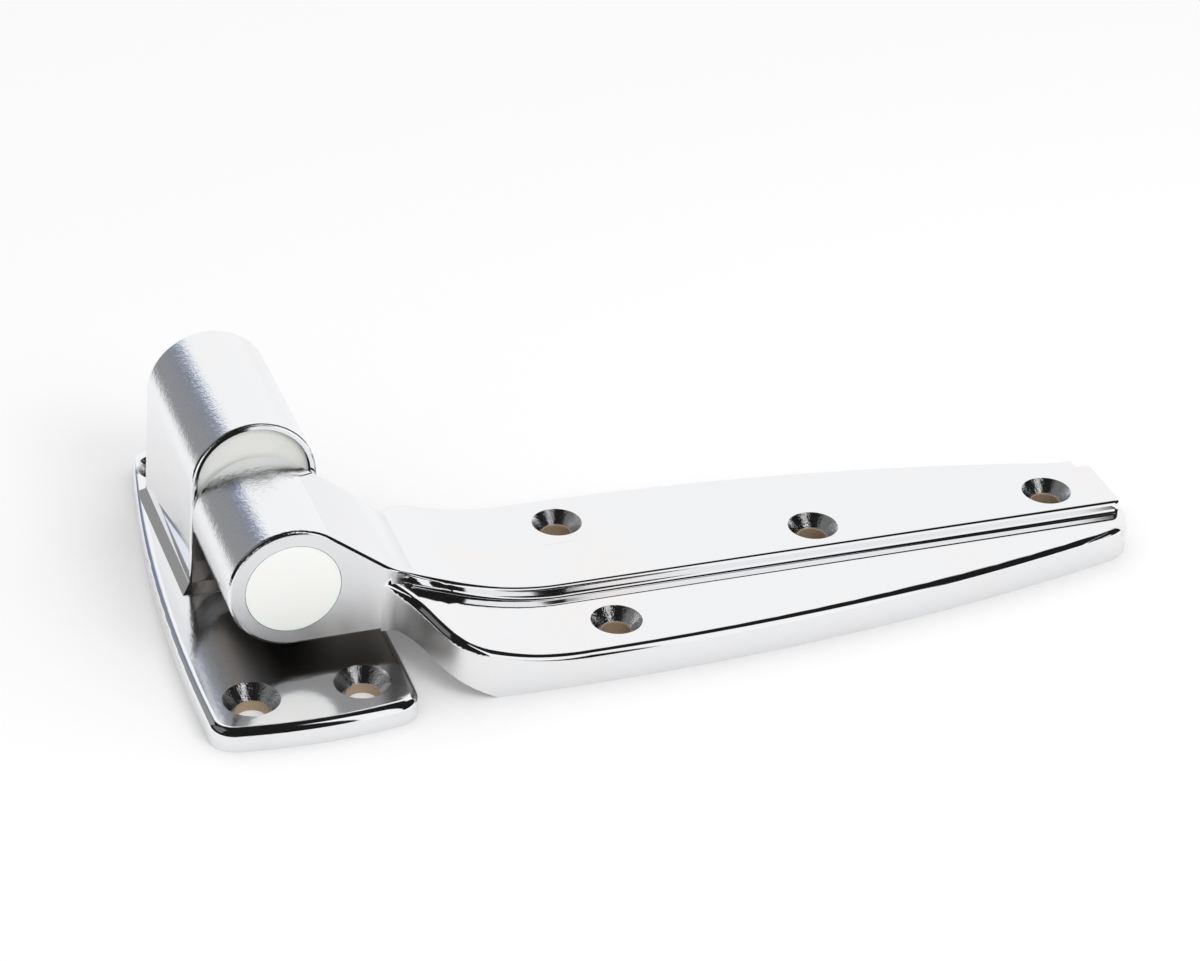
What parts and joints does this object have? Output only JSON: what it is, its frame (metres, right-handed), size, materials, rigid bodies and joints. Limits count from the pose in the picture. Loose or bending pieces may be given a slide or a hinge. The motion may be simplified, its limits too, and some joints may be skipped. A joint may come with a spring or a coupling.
{
  "type": "flush hinge",
  "caption": "Chrome-plated cam-rise flush hinge: tapering flange with a round-topped pin housing, and a long ribbed strap that swings and climbs on a plastic bearing.",
  "frame": {"origin": "on the plane of both mounting faces, under the pin's axis, on the strap's centre line", "axes": "+X along the strap away from the pin, +Y along the pin into the flange's housing, +Z away from the mounting faces"},
  "size_m": [0.2535, 0.1352, 0.0515],
  "materials": {
    "plated_casting": "mirror-bright plating over a die casting",
    "bearing_plastic": "warm white, slightly glossy",
    "pin_steel": "ground steel"
  },
  "bodies": {
    "flange": {"flange": "plated_casting", "lower_cam": "bearing_plastic"},
    "pin": {"hinge_pin": "pin_steel"},
    "strap": {"strap": "plated_casting", "upper_cam": "bearing_plastic", "end_plug": "bearing_plastic"}
  },
  "joints": [
    {"name": "rise", "type": "slide", "parent": "flange", "child": "pin", "axis": [0, -1, 0], "range_m": [0, 0.011]},
    {"name": "swing", "type": "hinge", "parent": "pin", "child": "strap", "pos_m": [0, 0, 0.027], "axis": [0, -1, 0], "range_deg": [0, 120]}
  ],
  "couplings": [
    {"joint": "rise", "follows": "swing", "m_per_rad": 0.005093}
  ]
}
